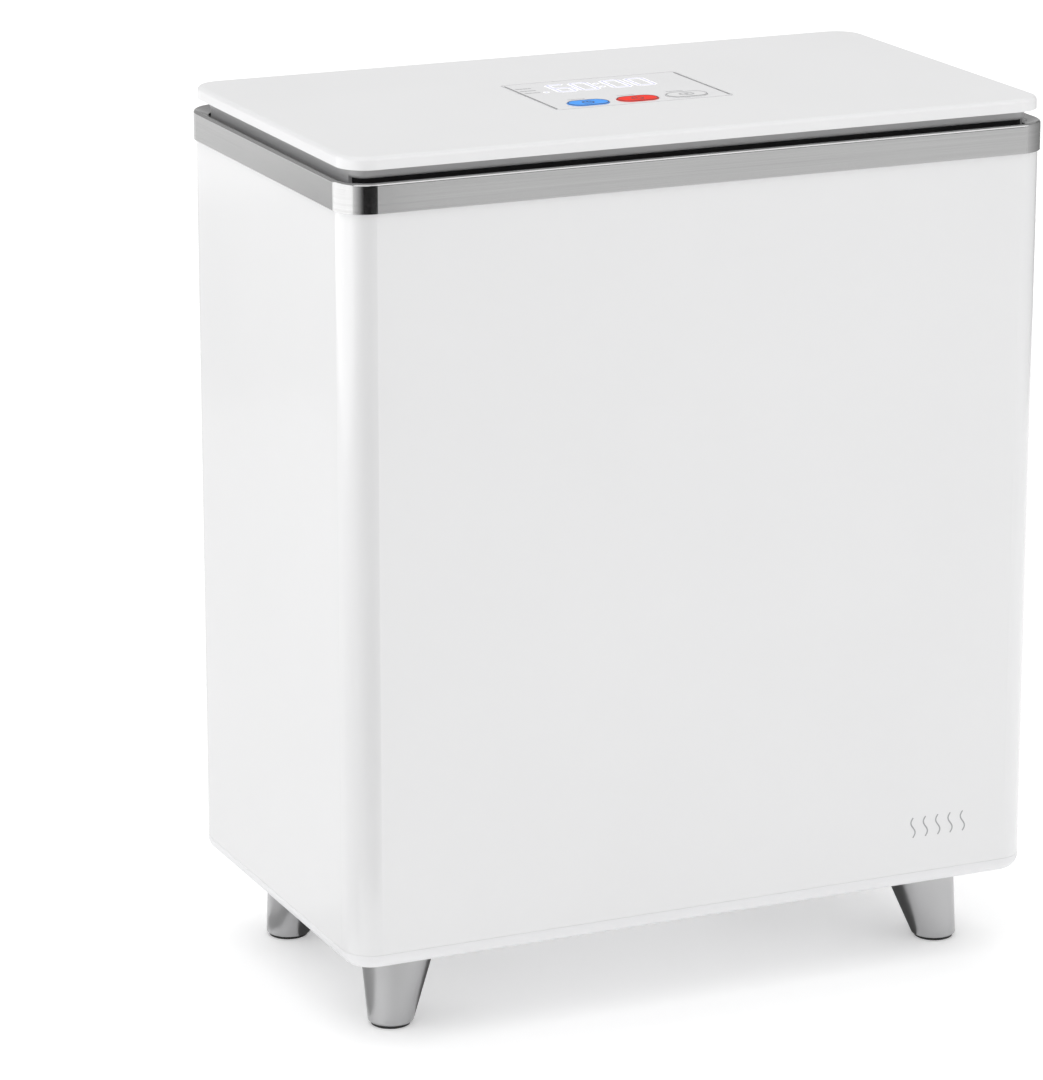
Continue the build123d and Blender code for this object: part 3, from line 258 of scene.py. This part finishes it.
# ---------------------------------------------------------------- printed marks
def print_shapes(name, outlines, low, thickness, material, body, plane="top"):
    """Thin raised prints from closed outlines, on the lid's top or on the cabinet's front."""
    mesh = bmesh.new()
    for outline in outlines:
        lower, upper = [], []
        for across, up in outline:
            if plane == "top":
                lower.append(mesh.verts.new((across, up, low)))
                upper.append(mesh.verts.new((across, up, low + thickness)))
            else:
                lower.append(mesh.verts.new((across, low, up)))
                upper.append(mesh.verts.new((across, low - thickness, up)))
        mesh.faces.new(upper)
        mesh.faces.new(list(reversed(lower)))
        for index in range(len(outline)):
            follower = (index + 1) % len(outline)
            mesh.faces.new((lower[index], lower[follower], upper[follower], upper[index]))
    bmesh.ops.recalc_face_normals(mesh, faces=mesh.faces)
    data = bpy.data.meshes.new(name)
    mesh.to_mesh(data)
    mesh.free()
    data.materials.append(material)
    piece = bpy.data.objects.new(name, data)
    bpy.context.scene.collection.objects.link(piece)
    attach(piece, body)
    return piece


def bar(x, y, length, width):
    """A bar centred on x, y."""
    return [(x - length / 2, y - width / 2), (x + length / 2, y - width / 2),
            (x + length / 2, y + width / 2), (x - length / 2, y + width / 2)]


def stroke(points, width):
    """The outline of a line of even width through the points."""
    left, right = [], []
    for index, point in enumerate(points):
        before = Vector(points[max(index - 1, 0)])
        after = Vector(points[min(index + 1, len(points) - 1)])
        along = (after - before).normalized()
        side = Vector((-along.y, along.x)) * width / 2
        left.append(tuple(Vector(point) + side))
        right.append(tuple(Vector(point) - side))
    return left + list(reversed(right))


def arc_points(centre, radius, start, end, steps=28):
    """Points on an arc, in degrees, counted from +X towards +Y."""
    angles = [math.radians(start + (end - start) * step / steps) for step in range(steps + 1)]
    return [(centre[0] + radius * math.cos(a), centre[1] + radius * math.sin(a)) for a in angles]


def oval_points(centre, length, width, steps=18):
    """A flat-sided oval, all the way round and back to its start."""
    run = (length - width) / 2
    right = arc_points((centre[0] + run, centre[1]), width / 2, -90, 90, steps)
    left = arc_points((centre[0] - run, centre[1]), width / 2, 90, 270, steps)
    return right + left + [right[0]]


# Seven-segment digits: which of the segments a..g each numeral lights.
SEGMENTS = {"6": "acdefg", "0": "abcdef"}
DIGIT_WIDTH = 9.6 * MM
DIGIT_HEIGHT = 20.0 * MM
CORE_WIDTH = 1.1 * MM
CORE_GAP = 0.1 * MM
HALO_WIDTH = 3.6 * MM
HALO_GAP = -0.9 * MM


def segment(centre, length, upright, width, gap):
    """One display segment, a bar with pointed ends."""
    half, thick = length / 2 - gap, width / 2
    flat = [(-half, 0), (-half + thick, -thick), (half - thick, -thick),
            (half, 0), (half - thick, thick), (-half + thick, thick)]
    if upright:
        flat = [(-y, x) for x, y in flat]
    return [(centre[0] + x, centre[1] + y) for x, y in flat]


def digit(numeral, x, y, width, gap):
    """The lit segments of a numeral whose middle is at x, y."""
    half_width, quarter = DIGIT_WIDTH / 2, DIGIT_HEIGHT / 4
    places = {
        "a": ((x, y + 2 * quarter), False), "g": ((x, y), False), "d": ((x, y - 2 * quarter), False),
        "f": ((x - half_width, y + quarter), True), "b": ((x + half_width, y + quarter), True),
        "e": ((x - half_width, y - quarter), True), "c": ((x + half_width, y - quarter), True),
    }
    lengths = {False: DIGIT_WIDTH, True: DIGIT_HEIGHT / 2}
    return [segment(places[key][0], lengths[places[key][1]], places[key][1], width, gap)
            for key in SEGMENTS[numeral]]


PRINT = 0.06 * MM
DOT_ARC = (0, 342, 19)
DISPLAY_MIDDLE_Y = 16.5 * MM
DIGIT_PLACES = [("6", -25.4 * MM), ("0", -11.4 * MM), ("0", 8.2 * MM), ("0", 23.2 * MM)]
COLON_X = -2.0 * MM
COLON_RISE = 4.6 * MM
HALO_DOT = 2.0 * MM
CORE_DOT = 0.8 * MM
STATUS_DOT = (-38.0 * MM, 8.7 * MM)
CAPTION_LIFT = 11.8 * MM
RULE_MIDDLE_X = -46.0 * MM
RULE_YS = (9.9 * MM, 16.2 * MM, 22.8 * MM)
RULE_WIDTH = 1.3 * MM
RULE_DASHES = (2.2 * MM, 1.6 * MM, 2.6 * MM, 1.4 * MM)
CAPTION_WIDTH = 0.9 * MM
CAPTION_SHIFT = -2.0 * MM
CAPTION_DASHES = (1.5 * MM, 2.2 * MM, 1.2 * MM, 1.9 * MM, 1.4 * MM)
DASH_SPACE = 0.5 * MM
EDGE_LINE = 0.75 * MM
EDGE_CORNER = 2.5 * MM


def dashes(middle_x, y, lengths, width):
    """A row of short dashes that stands for a caption, with no letters in it."""
    start = middle_x - (sum(lengths) + DASH_SPACE * (len(lengths) - 1)) / 2
    row = []
    for length in lengths:
        row.append(bar(start + length / 2, y, length, width))
        start += length + DASH_SPACE
    return row


def print_panel():
    """The lit display, the small printed rules and the dummy captions on the fascia."""
    low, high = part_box("control_panel")
    halo, core = [], []
    for numeral, x in DIGIT_PLACES:
        halo += digit(numeral, x, DISPLAY_MIDDLE_Y, HALO_WIDTH, HALO_GAP)
        core += digit(numeral, x, DISPLAY_MIDDLE_Y, CORE_WIDTH, CORE_GAP)
    dots = [(COLON_X, DISPLAY_MIDDLE_Y + rise * COLON_RISE) for rise in (-1, 1)] + [STATUS_DOT]
    halo += [arc_points(dot, HALO_DOT, *DOT_ARC) for dot in dots]
    core += [arc_points(dot, CORE_DOT, *DOT_ARC) for dot in dots]
    print_shapes("display_halo", halo, high.z, PRINT, GLOW, "lid")
    print_shapes("display_digits", core, high.z + PRINT, PRINT, GLOW_CORE, "lid")
    rules = []
    for y in RULE_YS:
        rules += dashes(RULE_MIDDLE_X, y, RULE_DASHES, RULE_WIDTH)
    edges = [bar(x, (low.y + high.y) / 2, EDGE_LINE, high.y - low.y - 2 * EDGE_CORNER)
             for x in (low.x + EDGE_LINE, high.x - EDGE_LINE)]
    print_shapes("panel_edge_lines", edges, high.z, PRINT, LINE_INK, "lid")
    print_shapes("panel_rules", rules, high.z, PRINT, PALE_INK, "lid")


# The symbols' proportions, as shares of the symbol's radius; the open ring's ends in degrees.
POWER_RING = (120, 420)
POWER_BAR = (0.15, 1.25)
CLOCK_HANDS = (0.7, 0.55)
CASE_OVAL = (2.6, 1.7)
CASE_OVAL_STEPS = 8
CASE_DOT = 0.35


def power_symbol(centre, radius, width):
    """An open ring with a bar in its gap."""
    ring = stroke(arc_points(centre, radius, *POWER_RING), width)
    bar_points = [(centre[0], centre[1] + share * radius) for share in POWER_BAR]
    return [ring, stroke(bar_points, width)]


def clock_symbol(centre, radius, width):
    """A clock face: a ring with two hands."""
    ring = stroke(arc_points(centre, radius, 0, 360), width)
    hands = stroke([(centre[0], centre[1] + CLOCK_HANDS[0] * radius), centre,
                    (centre[0] + CLOCK_HANDS[1] * radius, centre[1])], width)
    return [ring, hands]


def case_symbol(centre, radius, width):
    """A small rounded case with a dot in it."""
    case_line = stroke(oval_points(centre, CASE_OVAL[0] * radius, CASE_OVAL[1] * radius, CASE_OVAL_STEPS),
                       width)
    return [case_line, arc_points(centre, CASE_DOT * radius, *DOT_ARC)]


BUTTON_STYLES = {"blue": (BLUE_INK, clock_symbol), "red": (RED_INK, power_symbol),
                 "white": (PALE_INK, case_symbol)}
# The dark oval rim printed round each button's edge is painted shade of the gap round the button, not a
# printed outline.
BUTTON_RIM_SHADE = (23.4 * MM, 13.4 * MM)
RIM_SHADE_STROKE = 0.75 * MM
SYMBOL_RADIUS = 3.1 * MM
SYMBOL_STROKE = 0.95 * MM


def print_buttons():
    """Each button's symbol and a dark oval rim round its edge, which is painted shade of the gap round the
    button, both moving with it, and its dashed caption on the fascia.
    """
    captions = []
    for colour, (ink, symbol) in BUTTON_STYLES.items():
        low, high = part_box(f"button_{colour}")
        centre = ((low.x + high.x) / 2, (low.y + high.y) / 2)
        # Painted gap shade: a dark rim in the button's ink, printed round the button's edge.
        outline = stroke(oval_points(centre, *BUTTON_RIM_SHADE), RIM_SHADE_STROKE)
        marks = symbol(centre, SYMBOL_RADIUS, SYMBOL_STROKE)
        print_shapes(f"button_{colour}_marks", [outline] + marks, high.z, PRINT, ink,
                     f"{colour}_button")
        captions += dashes(centre[0] + CAPTION_SHIFT, centre[1] + CAPTION_LIFT, CAPTION_DASHES,
                           CAPTION_WIDTH)
    print_shapes("button_captions", captions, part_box("control_panel")[1].z, PRINT, PALE_INK,
                 "lid")


WAVE_XS = [x * MM for x in (134, 142, 150, 158, 166)]
WAVE_MIDDLE_Z = 84 * MM
WAVE_HEIGHT = 12 * MM
WAVE_SWAY = 1.4 * MM
WAVE_STROKE = 0.8 * MM
WAVE_STEPS = 24
WAVE_PRINT = 0.05 * MM


def print_front_glyph():
    """A small generic mark of five rising waves of warmth, low on the right of the front."""
    waves = []
    for x in WAVE_XS:
        points = []
        for index in range(WAVE_STEPS + 1):
            share = index / WAVE_STEPS
            sway = WAVE_SWAY * math.sin(share * 2 * math.pi)
            points.append((x + sway, WAVE_MIDDLE_Z + (share - 0.5) * WAVE_HEIGHT))
        waves.append(stroke(points, WAVE_STROKE))
    print_shapes("front_glyph", waves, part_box("body_shell")[0].y, WAVE_PRINT, PALE_INK, "cabinet",
                 "front")


# ---------------------------------------------------------------- studio
# Headings are in degrees from the front (-Y) towards +X.  Glows are emission strengths.
FLOOR_REACH = 12
FLOOR_GLOW = 0.24
FLOOR_WHITE = (0.92, 0.92, 0.92)
WORLD_STRENGTH = 0.62
CARD_WHITE = (0.9, 0.9, 0.9)
FLAG_BLACK = (0.005, 0.005, 0.005)
CARD_DISTANCE = 1.9
LOW_CARD = (0.0, 1.3)
HIGH_CARD = (0.95, 2.4)
# Each card: its name, first and last heading, bottom and top, colour, and glow at either heading.
CARDS = [
    ("card_left", -142, -62, LOW_CARD, CARD_WHITE, 1.5, 1.5),
    ("card_fade", -62, -30, LOW_CARD, FLAG_BLACK, 1.5, 0),
    ("flag_front", -30, 14, LOW_CARD, FLAG_BLACK, 0, 0),
    ("card_right", 48, 130, LOW_CARD, FLAG_BLACK, 1.1, 0.1),
    ("card_high_left", -60, 0, HIGH_CARD, CARD_WHITE, 1.2, 1.2),
    ("card_high_right", 0, 60, HIGH_CARD, CARD_WHITE, 1.2, 1.2),
]
FAN_LIFT = 0.002
# Each fan: its name, its headings with the glow at each, and its inner and outer reach.
FANS = [
    ("fan_left", [(-180, 0.88), (-145, 0.88), (-115, 0.7), (-90, 0.5), (-62, 0.35)], 0.17, 1.5),
    ("fan_front", [(-62, 0.35), (-30, 0.05), (14, 0.0)], 0.26, 1.62),
    ("fan_far", [(-180, 0.76), (-146, 0.76)], 1.5, 2.4),
]
# Each patch is a dark sheet standing for painted shade of the floor under the cabinet and by its left
# legs, as seen in reflections. Its columns are its name, outline on the floor, and glow.
PAINTED_SHADE_PATCHES = [
    ("painted_shade_under", [(-0.17, -0.08), (0.17, -0.08), (0.17, 0.1), (-0.17, 0.1)], 0.08),
    ("painted_shade_by_leg", [(-0.34, -0.07), (-0.19, -0.07), (-0.19, 0.1), (-0.34, 0.1)], 0.42),
]
# Each broad light: its name, heading, height above level in degrees, strength, and width in degrees.
BROAD_LIGHTS = [
    ("side_light_right", 40, 15, 0.22, 60),
    ("side_light_left", -105, 12, 0.36, 40),
    ("overhead_light", 180, 85, 1.25, 80),
]
FLOOR_CLOUD = 0.01
CARD_CLOUD = 0.1


def studio_material(name, colour, clouding):
    """A matt studio surface with a slight cloud, lit from within as its glow attribute says."""
    material, tree, shader = new_material(name)
    cloud = noise(tree, object_coordinates(tree), 3, 2)
    tint = two_colours(tree, cloud, shaded(colour, 1 - clouding), colour)
    tree.links.new(tint, shader.inputs["Base Color"])
    glow = tree.nodes.new("ShaderNodeAttribute")
    glow.attribute_name = "glow"
    tree.links.new(glow.outputs["Fac"], shader.inputs["Emission Strength"])
    shader.inputs["Emission Color"].default_value = (1, 1, 1, 1)
    shader.inputs["Roughness"].default_value = 0.7
    shader.inputs["Specular IOR Level"].default_value = 0.1
    return material


def stage_mesh(name, corners, faces, glows, material):
    """A studio piece with a glow at each of its corners."""
    data = bpy.data.meshes.new(name)
    data.from_pydata(corners, [], faces)
    data.materials.append(material)
    data.attributes.new("glow", "FLOAT", "POINT").data.foreach_set("value", glows)
    piece = bpy.data.objects.new(name, data)
    bpy.context.scene.collection.objects.link(piece)
    return piece


def keep_to_reflections(piece):
    """The piece shows only in reflections: it is not seen, lights nothing and casts no shadow."""
    piece.visible_camera = False
    piece.visible_diffuse = False
    piece.visible_shadow = False


def make_floor():
    reach = FLOOR_REACH
    corners = [(-reach, -reach, 0), (reach, -reach, 0), (reach, reach, 0), (-reach, reach, 0)]
    stage_mesh("studio_floor", corners, [(0, 1, 2, 3)], [FLOOR_GLOW] * 4,
               studio_material("studio_floor", FLOOR_WHITE, FLOOR_CLOUD))


def towards(heading, reach, start=(0, 0)):
    """The floor point at a reach from start, in the direction of a heading."""
    angle = math.radians(heading)
    return start[0] + reach * math.sin(angle), start[1] - reach * math.cos(angle)


def make_card(name, start, end, heights, colour, glow, far_glow):
    """An upright card that shows only in reflections, with a glow at its first and its last heading."""
    near, far = towards(start, CARD_DISTANCE), towards(end, CARD_DISTANCE)
    bottom, top = heights
    corners = [(*near, bottom), (*far, bottom), (*far, top), (*near, top)]
    keep_to_reflections(stage_mesh(name, corners, [(0, 1, 2, 3)], [glow, far_glow, far_glow, glow],
                                   studio_material(name, colour, CARD_CLOUD)))


def make_painted_shade_patch(name, outline, glow):
    """A dark patch just over the floor that shows only in reflections, painted shade of the floor there.
    """
    corners = [(x, y, FAN_LIFT) for x, y in outline]
    keep_to_reflections(stage_mesh(name, corners, [tuple(range(len(corners)))], [glow] * len(corners),
                                   studio_material(name, FLAG_BLACK, CARD_CLOUD)))


def make_floor_fan(name, stops, inner, outer):
    """A dark fan just over the floor round the front-left corner that shows only in reflections."""
    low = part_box("body_shell")[0]
    corners, glows = [], []
    for heading, glow in stops:
        for reach in (inner, outer):
            corners.append((*towards(heading, reach, low), FAN_LIFT))
            glows.append(glow)
    faces = [(2 * i, 2 * i + 1, 2 * i + 3, 2 * i + 2) for i in range(len(stops) - 1)]
    keep_to_reflections(stage_mesh(name, corners, faces, glows,
                                   studio_material(name, FLAG_BLACK, CARD_CLOUD)))


def make_broad_light(name, heading, height, strength, softness):
    """A very soft distant light that shows in no reflection."""
    data = bpy.data.lights.new(name, "SUN")
    data.energy = strength
    data.angle = math.radians(softness)
    light = bpy.data.objects.new(name, data)
    side, lift = math.radians(heading), math.radians(height)
    source = Vector((math.sin(side) * math.cos(lift), -math.cos(side) * math.cos(lift), math.sin(lift)))
    light.rotation_mode = "QUATERNION"
    light.rotation_quaternion = source.to_track_quat("Z", "Y")
    light.visible_glossy = False
    bpy.context.scene.collection.objects.link(light)


def light_studio():
    world = bpy.data.worlds.new("studio")
    world.use_nodes = True
    background = world.node_tree.nodes["Background"]
    background.inputs["Color"].default_value = (1, 1, 1, 1)
    background.inputs["Strength"].default_value = WORLD_STRENGTH
    bpy.context.scene.world = world
    for light in BROAD_LIGHTS:
        make_broad_light(*light)
    for card in CARDS:
        make_card(*card)
    for fan in FANS:
        make_floor_fan(*fan)
    # Dark floor patches: painted shade of the floor under the cabinet and by its left legs, seen only in
    # reflections.
    for patch in PAINTED_SHADE_PATCHES:
        make_painted_shade_patch(*patch)
    bpy.context.scene.view_settings.view_transform = "Standard"


# ---------------------------------------------------------------- making
make_camera()
dress_cad_nodes()
print_panel()
print_buttons()
print_front_glyph()
make_floor()
light_studio()
